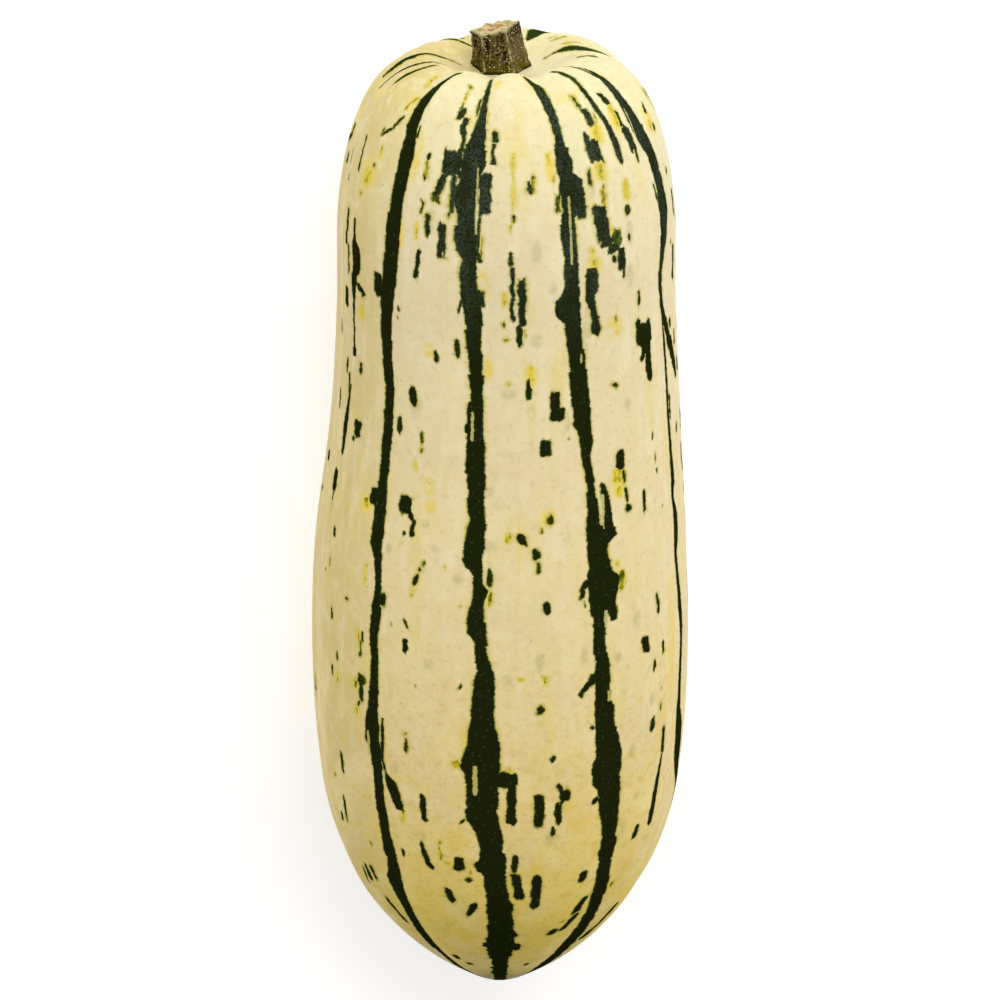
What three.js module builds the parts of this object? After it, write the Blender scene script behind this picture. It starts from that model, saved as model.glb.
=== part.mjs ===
// Delicata squash, whole, with its cut stem, lying on its side as it does on a worktop.
//
// Millimetres, +Z up. The fruit's core line runs along Y with the stem towards +Y, and leans down a little
// towards the stem, because the shoulder is slimmer than the belly and both touch the ground. The origin is
// on the ground, under the middle of the whole squash.
//
// Two pieces: the fruit, whose ten ribs meet in shallow furrows, and the five-ridged stem stub in its dimple.

import * as THREE from "three";

// ---- driving dimensions ----

const BELLY_RADIUS = 40;
const BELLY_DEPTH = 129; // from the shoulder's crest to the widest place, along the core
const LEAN = THREE.MathUtils.degToRad(2.64); // of the core line, stem end down
const GROUND_DROP = 38.9; // from the core at the belly, square to the ground; the ground flattens what is lower

// The fruit's outline from the middle of the stem's dimple to the blossom tip:
// depth along the core, counted from the shoulder's crest, and radius there.
const OUTLINE = [
  [3.3, 0],
  [3.3, 4.2],
  [3.3, 8.2],
  [1.5, 12.4],
  [0, 16.6],
  [0.5, 20],
  [2.2, 23.4],
  [6.6, 27.9],
  [15, 32],
  [31, 35.1],
  [55.6, 35.6],
  [81.2, 37],
  [105.8, 39.2],
  [BELLY_DEPTH, BELLY_RADIUS],
  [152, 39],
  [168.4, 36.5],
  [181.7, 31.4],
  [191.9, 24.1],
  [199.7, 16],
  [204.6, 9],
  [207.4, 3.9],
  [208.2, 0],
];
const STEPS_PER_SPAN = 2; // rings of the fruit in each stretch of the outline

// Each furrow's angle round the core, in degrees from straight up towards +X, at the stem end and at the
// blossom end, and how deep it is at the shoulder.
const FURROWS = [
  [-84, -80, 1.35],
  [-43, -43, 1.35],
  [-13, -3, 1.35],
  [20, 40, 1.35],
  [66, 76, 1.35],
  [106, 112, 1.35],
  [153, 156, 0.5],
  [194, 190, 1.35],
  [226, 224, 1.35],
  [252, 254, 1.35],
];
const STEPS_PER_RIB = 8;
const FURROW_SHARE = 0.45; // of that depth, which is left along the rest of the fruit
const FURROW_FADE = 45; // how far down the fruit the deep part reaches
const FURROW_RADII = [8, 18]; // from the core, where the furrows have gone and where they start to fade
const FURROW_SHARPNESS = 4;

// How far each rib's middle stands out beyond the outline at the shoulder, from the first furrow on.
const RIB_SWELL = [-0.2, 0, 0.2, 0, -0.5, 0.1, -0.1, -1.7, -1.3, -0.8];
const SWELL_FADE = 30; // how far down the fruit it reaches

// The core line runs a little to one side along the upper half.
const CORE_SHIFT = 1.3;
const SHIFT_START = 70;
const SHIFT_END = 115;

const STEM_OFFSET = -1.2; // from the core, across
const STEM_GAP = 0.3; // between the dimple and the stem's foot
const STEM_FOOT_RADIUS = 5.5;
const STEM_WAIST_RADIUS = 4.8;
const STEM_TOP_RADIUS = 4.5;
const STEM_HEIGHT = 8.3; // at its middle
const STEM_TOP_SLOPE = [0.23, 0.04]; // rise of the cut towards +X, and towards the side that faces up
const STEM_TOP_SHIFT = -1.2; // the stem leans this far across by its top
const RIDGE_ANGLES = [-32, 27, 98, 168, 248]; // round the stem, in degrees from straight up
const RIDGE_HEIGHT = 0.8;
const RIDGE_WIDTH = 20; // degrees from a ridge's line to where it has mostly gone
const STEM_SEGMENTS = 40;
const STEM_RINGS = 7;

// ---- shapes ----

const smooth = THREE.MathUtils.smoothstep;

// Vertices on rings, closed at each end by one more vertex, as one closed geometry that faces outwards.
function closedRings(firstPole, rings, lastPole) {
  const around = rings[0].length;
  const points = [firstPole, ...rings.flat(), lastPole];
  const last = points.length - 1;
  const index = [];
  const at = (ring, i) => 1 + ring * around + (i % around);
  for (let i = 0; i < around; i++) {
    index.push(0, at(0, i), at(0, i + 1));
    index.push(last, at(rings.length - 1, i + 1), at(rings.length - 1, i));
    for (let ring = 0; ring < rings.length - 1; ring++) {
      index.push(at(ring, i), at(ring + 1, i + 1), at(ring, i + 1));
      index.push(at(ring, i), at(ring + 1, i), at(ring + 1, i + 1));
    }
  }
  const geometry = new THREE.BufferGeometry().setFromPoints(points);
  geometry.setIndex(index);
  geometry.computeVertexNormals();
  return geometry;
}

// A furrow's angle in radians at a share of the way down the fruit. The list goes round, a turn further each time.
function furrowAngle(i, share) {
  const [start, end] = FURROWS[i % FURROWS.length];
  const turns = Math.floor(i / FURROWS.length);
  return THREE.MathUtils.degToRad(start + (end - start) * share + 360 * turns);
}

// How far the surface lies under the outline, a share of the way across a rib.
function furrowDepth(rib, across, depth, radius) {
  const deep = FURROW_SHARE + (1 - FURROW_SHARE) * Math.exp(-depth / FURROW_FADE);
  const [, , deepest] = FURROWS[(across < 0.5 ? rib : rib + 1) % FURROWS.length];
  const furrow = deepest * deep * Math.cos(Math.PI * across) ** FURROW_SHARPNESS;
  const swell = RIB_SWELL[rib] * Math.exp(-depth / SWELL_FADE) * Math.sin(Math.PI * across) ** 2;
  return (furrow - swell) * smooth(radius, ...FURROW_RADII);
}

function coreShift(depth) {
  return CORE_SHIFT * (1 - smooth(depth, SHIFT_START, SHIFT_END));
}

// A point round the core line, at an angle from straight up, with the belly at Y 0.
function aroundCore(depth, radius, angle) {
  return new THREE.Vector3(
    coreShift(depth) + radius * Math.sin(angle),
    BELLY_DEPTH - depth,
    radius * Math.cos(angle),
  );
}

// Lifts what would lie under the ground on to it, which leaves the flat spots that the squash rests on.
function pressOnGround(point) {
  const up = new THREE.Vector3(0, -Math.sin(LEAN), Math.cos(LEAN));
  const height = point.dot(up) + GROUND_DROP;
  return height < 0 ? point.addScaledVector(up, -height) : point;
}

function fruitGeometry() {
  const outline = new THREE.CatmullRomCurve3(
    OUTLINE.map(([depth, radius]) => new THREE.Vector3(depth, radius, 0)),
  );
  const steps = (OUTLINE.length - 1) * STEPS_PER_SPAN;
  const rings = [];
  for (let ring = 1; ring < steps; ring++) {
    const { x: depth, y: radius } = outline.getPoint(ring / steps);
    const along = outline.getTangent(ring / steps);
    const share = THREE.MathUtils.clamp(depth / OUTLINE.at(-1)[0], 0, 1);
    const points = [];
    for (let rib = 0; rib < FURROWS.length; rib++) {
      for (let step = 0; step < STEPS_PER_RIB; step++) {
        const across = step / STEPS_PER_RIB;
        const start = furrowAngle(rib, share);
        const angle = start + (furrowAngle(rib + 1, share) - start) * across;
        const cut = furrowDepth(rib, across, depth, radius);
        points.push(
          pressOnGround(aroundCore(depth + along.y * cut, radius - along.x * cut, angle)),
        );
      }
    }
    rings.push(points);
  }
  const [[dimple], [tip]] = [OUTLINE[0], OUTLINE.at(-1)];
  return closedRings(aroundCore(dimple, 0, 0), rings, aroundCore(tip, 0, 0));
}

// How far the stem's ridges stand out at an angle round it.
function ridgeHeight(angle) {
  const { degToRad, euclideanModulo } = THREE.MathUtils;
  return RIDGE_ANGLES.reduce((sum, ridge) => {
    const away = euclideanModulo(angle - degToRad(ridge) + Math.PI, 2 * Math.PI) - Math.PI;
    return sum + RIDGE_HEIGHT * Math.exp(-((away / degToRad(RIDGE_WIDTH)) ** 2));
  }, 0);
}

// A ring of the stem, a share of the way up. Y is up the stem.
function stemRing(up) {
  const waist = THREE.MathUtils.lerp(STEM_FOOT_RADIUS, STEM_WAIST_RADIUS, smooth(up, 0, 0.5));
  const radius = THREE.MathUtils.lerp(waist, STEM_TOP_RADIUS, smooth(up, 0.5, 1));
  const points = [];
  for (let i = 0; i < STEM_SEGMENTS; i++) {
    const angle = (2 * Math.PI * i) / STEM_SEGMENTS;
    const reach = radius + ridgeHeight(angle);
    const [x, z] = [reach * Math.sin(angle), reach * Math.cos(angle)];
    const top = STEM_HEIGHT + STEM_TOP_SLOPE[0] * x + STEM_TOP_SLOPE[1] * z;
    points.push(new THREE.Vector3(x + STEM_TOP_SHIFT * up, top * up, z));
  }
  return points;
}

function stemGeometry() {
  const rings = Array.from({ length: STEM_RINGS }, (_, i) => stemRing(1 - i / (STEM_RINGS - 1)));
  const topMiddle = new THREE.Vector3(STEM_TOP_SHIFT, STEM_HEIGHT, 0);
  return closedRings(topMiddle, rings, new THREE.Vector3(0, 0, 0));
}

// ---- the squash ----

const rind = new THREE.MeshStandardMaterial({ color: 0xebe0ae, roughness: 0.45, metalness: 0 });
const bark = new THREE.MeshStandardMaterial({ color: 0x5a5730, roughness: 0.8, metalness: 0 });

const fruit = new THREE.Mesh(fruitGeometry(), rind);
fruit.name = "fruit";

const stem = new THREE.Mesh(stemGeometry(), bark);
stem.name = "stem";
const [dimpleDepth] = OUTLINE[0];
stem.position.set(coreShift(0) + STEM_OFFSET, BELLY_DEPTH - dimpleDepth + STEM_GAP, 0);

const squash = new THREE.Group();
squash.add(fruit, stem);
squash.rotation.x = -LEAN;
squash.updateMatrixWorld(true);

// The origin goes under the middle of the squash, on the ground.
const box = new THREE.Box3().setFromObject(squash, true);
const middle = box.getCenter(new THREE.Vector3());
squash.position.set(-middle.x, -middle.y, -box.min.z);

export default squash;
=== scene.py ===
"""Delicata squash: the fine surface, markings and materials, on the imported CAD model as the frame.

Lengths are in millimetres and angles in degrees until a mesh is made, which is in metres. A place on the
fruit is an angle round its core line, from straight up towards +X, and a distance along its outline, from
the middle of the stem's dimple to the blossom tip.
"""

import math
import random

import bpy
import numpy as np
from mathutils import Matrix, Vector


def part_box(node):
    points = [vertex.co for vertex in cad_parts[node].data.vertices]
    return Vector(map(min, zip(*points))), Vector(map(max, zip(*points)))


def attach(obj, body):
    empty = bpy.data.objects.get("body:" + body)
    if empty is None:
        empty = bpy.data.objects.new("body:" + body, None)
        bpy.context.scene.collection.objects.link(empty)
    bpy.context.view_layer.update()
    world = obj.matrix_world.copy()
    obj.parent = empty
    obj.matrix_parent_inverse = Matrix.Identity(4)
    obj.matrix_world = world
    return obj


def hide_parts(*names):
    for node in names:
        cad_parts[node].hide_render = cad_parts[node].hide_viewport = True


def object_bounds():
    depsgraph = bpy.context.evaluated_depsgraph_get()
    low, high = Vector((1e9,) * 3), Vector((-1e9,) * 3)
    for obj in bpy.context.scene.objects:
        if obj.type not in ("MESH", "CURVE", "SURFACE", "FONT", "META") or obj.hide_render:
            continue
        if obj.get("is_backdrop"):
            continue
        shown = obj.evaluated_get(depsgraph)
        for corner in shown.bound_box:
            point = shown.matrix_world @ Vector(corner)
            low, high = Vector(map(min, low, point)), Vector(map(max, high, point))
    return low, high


MM = 0.001

# ---- the shape, as in the CAD source ----

BELLY_DEPTH = 129.0
BELLY_RADIUS = 40.0
LEAN = math.radians(2.64)
GROUND_DROP = 38.9
OUTLINE = [
    (3.3, 0), (3.3, 4.2), (3.3, 8.2), (1.5, 12.4), (0, 16.6), (0.5, 20), (2.2, 23.4), (6.6, 27.9),
    (15, 32), (31, 35.1), (55.6, 35.6), (81.2, 37), (105.8, 39.2), (BELLY_DEPTH, BELLY_RADIUS),
    (152, 39), (168.4, 36.5), (181.7, 31.4), (191.9, 24.1), (199.7, 16), (204.6, 9), (207.4, 3.9),
    (208.2, 0),
]
FURROWS = [
    (-84, -80, 1.35), (-43, -43, 1.35), (-13, -3, 1.35), (20, 40, 1.35), (66, 76, 1.35), (106, 112, 1.35),
    (153, 156, 0.5), (194, 190, 1.35), (226, 224, 1.35), (252, 254, 1.35),
]
FURROW_SHARE = 0.45
FURROW_FADE = 45
FURROW_RADII = (8, 18)
FURROW_SHARPNESS = 4
RIB_SWELL = [-0.2, 0, 0.2, 0, -0.5, 0.1, -0.1, -1.7, -1.3, -0.8]
SWELL_FADE = 30
CORE_SHIFT = 1.3
SHIFT_SPAN = (70, 115)

STEM_OFFSET = -1.2
STEM_GAP = 0.3
STEM_FOOT_RADIUS = 5.5
STEM_WAIST_RADIUS = 4.8
STEM_TOP_RADIUS = 4.5
STEM_HEIGHT = 8.3
STEM_TOP_SLOPE = (0.23, 0.04)
STEM_TOP_SHIFT = -1.2
RIDGE_ANGLES = [-32, 27, 98, 168, 248]
RIDGE_HEIGHT = 0.8

# ---- meshes ----

COLUMNS = 600  # of faces round the fruit
ROWS = 160  # of faces from the dimple to the tip
SPLINE_SAMPLES = 4000

STEM_COLUMNS = 200
STEM_ROWS = 70
CUT_RINGS = 30
STEM_SINK = 1.2  # how far the stem's foot reaches under the dimple's skin
FLUTE_SHARPNESS = 0.8
FLUTE_DEPTH = 0.12  # how far the stem's faces lie under flat ones, in their middles
FOOT_FLARE = 0.25
CUT_HOLLOW = 0.35  # of the cut's middle below its rim
BARK_PLAY = (0.11, 0.07)  # how far coarse lumps and fine ones move the stem's side
CUT_PLAY = (0.2, 0.1)  # the same, of the cut
RIM_ROUNDING = 0.28  # how far the cut's rim is drawn in
RIM_PLAY = 0.13  # how far lumps lift and lower it
KNOBS = [(262, 0.93, 0.8), (208, 1, 0.6)]  # on the stem: angle, how far up, and how far each one stands out
KNOB_SPREAD = (8, 0.06)  # degrees round the stem, and share of its height
KNOB_RISE = 0.6  # how far a knob lifts the rim, as a share of how far it stands out
SCAR = (1.7, 2.4)  # how far to the right the dark scar under the cut starts and is full
WAVES = 40  # in the noise that roughens the stem's mesh
FLOOR_HALF = 3  # metres

HIDDEN_FLECKS = 240
HIDDEN_ANGLES = (84, 276)  # over which they are scattered
HIDDEN_ALONGS = (30, 235)

# ---- camera ----

CAMERA_ELEVATION = math.radians(67.4)
CAMERA_DISTANCE = 1500
VIEW_WIDTH = 211  # of what the picture takes in, at the target
TARGET = (0, 2.94, 39)


def smooth(x, low, high):
    """0 below low, 1 above high, and an even curve between."""
    t = np.clip((x - low) / (high - low), 0, 1)
    return t * t * (3 - 2 * t)


def spline(points, samples):
    """A centripetal Catmull-Rom curve through the points, at even steps of its parameter."""
    known = np.array(points, float)
    known = np.vstack([2 * known[0] - known[1], known, 2 * known[-1] - known[-2]])
    place = np.linspace(0, len(points) - 1, samples + 1)
    first = np.minimum(place.astype(int), len(points) - 2)
    t = (place - first)[:, None]
    p0, p1, p2, p3 = (known[first + i] for i in range(4))
    d0, d1, d2 = (np.linalg.norm(b - a, axis=1)[:, None] ** 0.5 for a, b in ((p0, p1), (p1, p2), (p2, p3)))
    t1 = ((p1 - p0) / d0 - (p2 - p0) / (d0 + d1) + (p2 - p1) / d1) * d1
    t2 = ((p2 - p1) / d1 - (p3 - p1) / (d1 + d2) + (p3 - p2) / d2) * d1
    return p1 + t1 * t + (3 * (p2 - p1) - 2 * t1 - t2) * t**2 + (2 * (p1 - p2) + t1 + t2) * t**3


class Outline:
    """The fruit's outline by the distance along it: depth, radius and direction."""

    def __init__(self):
        self.points = spline(OUTLINE, SPLINE_SAMPLES)
        steps = np.linalg.norm(np.diff(self.points, axis=0), axis=1)
        self.along = np.concatenate([[0], np.cumsum(steps)])
        self.length = self.along[-1]
        way = np.gradient(self.points, axis=0)
        self.way = way / np.linalg.norm(way, axis=1)[:, None]

    def at(self, along):
        columns = (*self.points.T, *self.way.T)
        depth, radius, way_depth, way_radius = (np.interp(along, self.along, c) for c in columns)
        size = np.hypot(way_depth, way_radius)
        return depth, radius, way_depth / size, way_radius / size


OUTER = Outline()


def furrow_cut(angle, depth, radius):
    """How far the surface lies under the outline, from the furrows and from how the ribs differ."""
    share = np.clip(depth / OUTLINE[-1][0], 0, 1)
    starts = [start + (end - start) * share for start, end, _ in FURROWS]
    starts.append(starts[0] + 360)
    deep = FURROW_SHARE + (1 - FURROW_SHARE) * np.exp(-depth / FURROW_FADE)
    fade = np.exp(-depth / SWELL_FADE)
    cut = np.zeros_like(angle)
    for rib, swell in enumerate(RIB_SWELL):
        across = ((angle - starts[rib]) % 360) / (starts[rib + 1] - starts[rib])
        deepest = np.where(across < 0.5, FURROWS[rib][2], FURROWS[(rib + 1) % len(FURROWS)][2])
        furrow = deepest * deep * np.cos(np.pi * across) ** FURROW_SHARPNESS
        here = furrow - swell * fade * np.sin(np.pi * across) ** 2
        cut = np.where(across < 1, here, cut)
    return cut * smooth(radius, *FURROW_RADII)


def lean_back(points):
    """From the core line's frame to the frame where the squash lies on the ground."""
    cos, sin = math.cos(-LEAN), math.sin(-LEAN)
    x, y, z = points[..., 0], points[..., 1], points[..., 2]
    return np.stack([x, y * cos - z * sin, y * sin + z * cos], -1)


def core_shift(depth):
    return CORE_SHIFT * (1 - smooth(depth, *SHIFT_SPAN))


def fruit_points(angle, along):
    """Points of the fruit's skin, lying on the ground."""
    depth, radius, way_depth, way_radius = OUTER.at(along)
    cut = furrow_cut(angle, depth, radius)
    depth = depth + way_radius * cut
    radius = radius - way_depth * cut
    turn = np.radians(angle)
    points = np.stack(
        [core_shift(depth) + radius * np.sin(turn), BELLY_DEPTH - depth, radius * np.cos(turn)], -1
    )
    up = np.array([0, -math.sin(LEAN), math.cos(LEAN)])
    height = points @ up + GROUND_DROP
    return lean_back(points - np.minimum(height, 0)[..., None] * up)


def new_object(name, data):
    thing = bpy.data.objects.new(name, data)
    bpy.context.scene.collection.objects.link(thing)
    return thing


def new_mesh(name, points, faces):
    """A smooth mesh in metres, from points in millimetres in the CAD's frame."""
    mesh = bpy.data.meshes.new(name)
    mesh.from_pydata((np.asarray(points) * MM).tolist(), [], faces)
    mesh.shade_smooth()
    return new_object(name, mesh)


def ring_faces(rings, columns):
    """Faces over rings of points from one pole, the first point, to the other, the last."""

    def at(ring, column):
        return 1 + ring * columns + column % columns

    last = 1 + rings * columns
    faces = [(0, at(0, c), at(0, c + 1)) for c in range(columns)]
    for r in range(rings - 1):
        faces += [(at(r, c), at(r + 1, c), at(r + 1, c + 1), at(r, c + 1)) for c in range(columns)]
    return faces + [(at(rings - 1, c + 1), at(rings - 1, c), last) for c in range(columns)]


# ---- markings ----

# Stripes: how ragged each one is, and its places as distance along, angle of its middle and width.
STRIPES = {
    "left": (0.5, [
        (17.5, -29, 0.6), (19, -33, 1.3), (21, -37, 1.6), (24, -39.9, 2.1), (27, -41.3, 2.7),
        (30, -41.9, 2.9), (34, -42.2, 3.6), (36, -41, 3.4), (40, -40.7, 3.7), (50, -42.2, 3.6),
        (60, -42.7, 4), (66, -43.9, 3.9), (70, -44.7, 3.7), (75, -45.1, 3.1), (80, -45.1, 3.1),
        (85, -44.2, 2.7), (90, -43, 2.3), (100, -43, 2.4), (105, -43.4, 2.4), (110, -43.6, 2.5),
        (112, -43.2, 2.9), (120, -43.3, 3), (124.5, -43.5, 3.4), (126, -42.4, 2.6), (130, -41.3, 1.8),
        (134, -41, 2.1), (138, -41.5, 2.7), (144, -41.9, 2.3), (150, -41.5, 2.3), (156, -41.9, 2.9),
        (160, -42.5, 3), (162, -43.1, 4), (168, -43, 4.3), (170, -42, 3.3), (175, -41.6, 2.6),
        (180, -41.4, 2.6), (186, -40.4, 3), (190, -40.2, 3), (196, -39.6, 3.3), (199, -40, 3.8),
        (201, -41.2, 4.6), (205, -40.6, 3.7), (210, -39.7, 3.3), (220, -40.2, 3.2), (250, -41, 2.5),
    ]),
    "left_branch": (0.7, [
        (161, -38.5, 0.6), (167, -39, 1.2), (171, -39.4, 0.8), (172.5, -38.6, 0.6), (174.6, -37.6, 0.9),
        (175.1, -36.6, 2.9), (178, -35.1, 3.3), (180, -33.7, 2.9), (182, -32.4, 2),
    ]),
    "middle": (0.8, [
        (17, -10.2, 0.5), (20, -10.2, 0.8), (25, -10.4, 1), (28, -10.4, 1.5), (30, -10.5, 1.9),
        (34, -11.3, 3.4), (36, -12, 4.3), (40, -12.5, 4.4), (43, -13.6, 3.6), (47, -14.7, 5.2),
        (50, -14.3, 3.8), (55, -13.7, 4.4), (57.6, -13.5, 4.2), (59.5, -12.7, 3), (65, -13.1, 3.6),
        (68, -12.7, 3.7), (69.5, -11.2, 3.4), (75, -10.8, 3.6), (80, -10.6, 3.4), (86, -10, 2.8),
        (90, -9.9, 2), (90.6, -10, 2.3), (91.3, -10.8, 3.3), (100, -10, 3.4), (105, -9.8, 4),
        (110, -9.2, 3.5), (116, -8.3, 3.3), (120, -8.7, 3.6), (123, -9.2, 4), (125, -9.2, 4.2),
        (125.8, -7.8, 2.8), (127, -7.3, 2.1), (129.5, -7, 2), (130, -6.2, 3.1), (131.7, -6.4, 2.9),
        (133.3, -6.9, 2.8), (133.9, -7.5, 3.8), (139.5, -7.4, 3.8), (140.2, -6.4, 2.7), (143, -5.4, 2.4),
        (147, -4.6, 3.2), (150, -4.6, 4.6), (154, -5, 5.3), (158, -5, 5), (160, -5.2, 5.7),
        (161, -5.1, 6.5), (165, -5.3, 7.1), (168, -6, 8), (169.8, -6.8, 9.2), (170.4, -5.9, 7.7),
        (172.5, -5.7, 6.9), (181, -5.7, 6.8), (182.3, -5, 6.7), (184, -3.6, 5.7), (188, -2.5, 5.2),
        (191.3, -2.5, 5.2), (192, -3.2, 6.2), (195, -3, 6.1), (196, -2, 4.8), (202.5, -1.2, 4.8),
        (203.5, -0.4, 5.7), (210, 0.1, 6), (219, 0.8, 6.2), (226, 0, 3.8), (240, 0.5, 2.6), (250, 0, 2.5),
    ]),
    "right": (0.8, [
        (17.5, 11, 0.8), (19, 13.8, 1.6), (20.5, 16, 2.1), (22, 17.8, 2.4), (26, 19.8, 2.2), (30, 21.3, 2),
        (34, 21.7, 2.1), (38, 22.1, 2.7), (42.8, 22.4, 2.9), (43.5, 23.9, 4.7), (48, 24.4, 5.3),
        (51.2, 24.6, 5.2), (51.7, 21.9, 3.2), (60, 22.6, 3), (66.8, 22.3, 3.2), (67.8, 21.6, 4.6),
        (70, 21.3, 5.5), (72.2, 21.6, 5.1), (73, 23, 4), (77, 23.9, 3.9), (82, 24.6, 4.1), (90, 25.3, 3.9),
        (95.3, 26.1, 4), (97, 26.8, 3.1), (100, 27.5, 2.6), (104, 27.4, 1.8), (110, 29.1, 1.9),
        (113, 29.8, 2.4), (117, 30.1, 2.9), (118.3, 30.2, 3), (119, 32.8, 6.5), (121.6, 33, 6.8),
        (122.3, 31.6, 5), (123.5, 31.4, 4.6), (127, 32.3, 5.4), (128.7, 32.6, 6.2), (129.8, 33.8, 7.8),
        (133, 33.9, 7.6), (133.6, 33.4, 7), (136.4, 33.2, 6.5), (137, 32, 3.3), (141, 31.9, 2.7),
        (147, 32.7, 3.2), (150, 33, 4.2), (156, 33.1, 4), (157.4, 33.2, 4.2), (158, 33.8, 5),
        (161, 33.9, 5.2), (165, 34.4, 5.5), (168, 35.5, 6.3), (170, 35.3, 6.8), (171, 34.7, 7.5),
        (176, 35, 7.3), (176.8, 36, 5.9), (180, 37, 5.5), (187, 38.4, 4.2), (195, 38.2, 3.4),
        (205, 39.5, 3.9), (215, 40.6, 3.7), (250, 42, 2.6),
    ]),
    "right_fork": (0.2, [
        (108.8, 32.6, 0.8), (111, 34, 1.6), (114, 34.9, 1.8), (118.6, 35.4, 2), (121, 36.6, 2.2),
    ]),
    "inner": (0.2, [
        (16.5, 31, 0.4), (18.5, 36, 0.9), (22, 39.6, 1), (25, 40.3, 1), (30, 41.8, 1.1), (34, 44.2, 1.4),
        (38, 45.3, 1.6), (41, 46, 1.4), (42.6, 46.4, 0.8), (43.4, 46.6, 0.3),
    ]),
    "right_side": (0.7, [
        (15, 61, 0.5), (18, 62, 1.1), (22, 61.8, 2.1), (25, 62.1, 3), (30, 61.9, 3.8), (35, 62.7, 5.6),
        (39, 64.8, 4.5), (44, 68.7, 3.2), (50, 70.6, 3.3), (56, 71.6, 3.6), (62, 70.2, 3.1),
        (68, 66.9, 1.9), (72, 66.7, 1.7), (76, 68.4, 2), (80, 70.8, 2.5), (84, 73.5, 2.4), (88, 76.2, 2.2),
        (92, 78.5, 1.6), (95, 79.5, 0.8),
    ]),
    "right_start": (0.2, [(12, 49, 0.4), (15, 50.5, 0.8), (18, 52.5, 1), (21, 56, 1.3), (24, 60, 1.4)]),
    "right_line": (0.2, [
        (78, 68.6, 0.6), (84, 69.6, 0.9), (90, 70.4, 1), (100, 70.4, 1), (110, 71.8, 1.4), (113, 72.5, 1.8),
        (117, 72.5, 2.1), (118.2, 71.3, 1), (121, 72.3, 1.3), (123, 73.4, 2.2), (128, 73.4, 2.4),
        (132, 72.3, 1.5), (140, 74.2, 1.6), (144, 75, 2.2), (150, 76, 1.6), (158, 75.4, 1.7),
        (164, 75.2, 1.8), (168, 75.2, 3), (172, 77, 4.8), (178, 78.3, 5), (182, 79.8, 3.6), (187, 84, 2.5),
        (200, 88, 2.2), (220, 88, 2), (250, 88, 2),
    ]),
    "between": (0.8, [
        (62.7, 30.2, 1.8), (63.4, 30.1, 2.5), (66, 29.9, 2.8), (68.5, 29.5, 2.2), (71.5, 30.6, 0.9),
        (74.5, 31.7, 2), (75.2, 32, 2.4), (77.5, 32.4, 2.2), (78, 32.5, 1),
    ]),
    "low_right": (0.2, [
        (174, 60.5, 0.5), (178, 59.3, 1.1), (182, 58.6, 1.6), (188, 57.7, 1.9), (191, 57.3, 1.4),
    ]),
    "left_upper": (0.2, [
        (14, -61, 0.3), (17, -65, 0.5), (20, -68, 0.8), (23, -72, 1.2), (26, -76.5, 1.4),
        (29.5, -80.5, 1.1), (31, -82, 0.4),
    ]),
    "left_line": (0.2, [(17, -57, 0.3), (20, -59, 0.7), (24, -64, 0.9), (28, -67, 0.3)]),
    "left_rim": (0.2, [
        (9, -92, 0.3), (12, -94.5, 0.7), (16, -94, 1.3), (21, -90, 1.4), (25, -88, 1), (29, -88, 0.4),
    ]),
    "left_outer": (1, [
        (56, -62.6, 0.5), (61, -62.4, 0.9), (61.6, -61, 3.2), (66, -60.9, 3.1), (68.5, -61.7, 2.2),
        (72, -62.5, 1.3), (77, -62.3, 0.7), (81, -62, 0.7), (84, -61.7, 1.1), (86.5, -61.5, 0.9),
    ]),
    "left_low": (0.3, [
        (92, -63, 0.4), (97, -64.3, 0.9), (102, -65.6, 1.7), (107, -66, 1.2), (109.5, -66.4, 0.6),
    ]),
    "right_rim": (0.5, [
        (9, 122.5, 0.3), (11, 120.5, 0.5), (12.5, 118.3, 0.8), (13.5, 117, 1.6), (15, 115.2, 1.9),
        (16, 112, 1.6), (18, 109.7, 1.4), (20, 108, 1.2), (30, 106, 1.8), (60, 108, 3), (110, 109, 2.2),
        (150, 111, 3.4), (200, 112, 2.6), (250, 112, 2),
    ]),
    "under_right": (0.8, [
        (12.6, 161, 0.4), (14, 160.5, 1), (16, 158.5, 2.4), (18, 158, 3.6), (20, 156, 4), (26, 156, 3.4),
        (60, 160, 3), (100, 158, 3.6), (150, 157, 4.4), (200, 156, 3.4), (250, 156, 2),
    ]),
    "under": (0.8, [
        (17, 196, 1), (30, 194, 2.6), (70, 193, 4), (120, 192, 2.6), (170, 190, 4.4), (250, 190, 2),
    ]),
    "under_left": (0.8, [
        (12.5, 213.5, 0.4), (14, 215.5, 0.9), (16.5, 219.5, 0.8), (20, 222, 0.6), (30, 222, 2.2),
        (80, 226, 3.4), (150, 224, 2.6), (250, 224, 2),
    ]),
    "left_under": (0.7, [
        (20, 254, 1), (40, 252, 2), (90, 253, 3), (140, 252, 2), (190, 254, 3.2), (250, 254, 2),
    ]),
}

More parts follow.
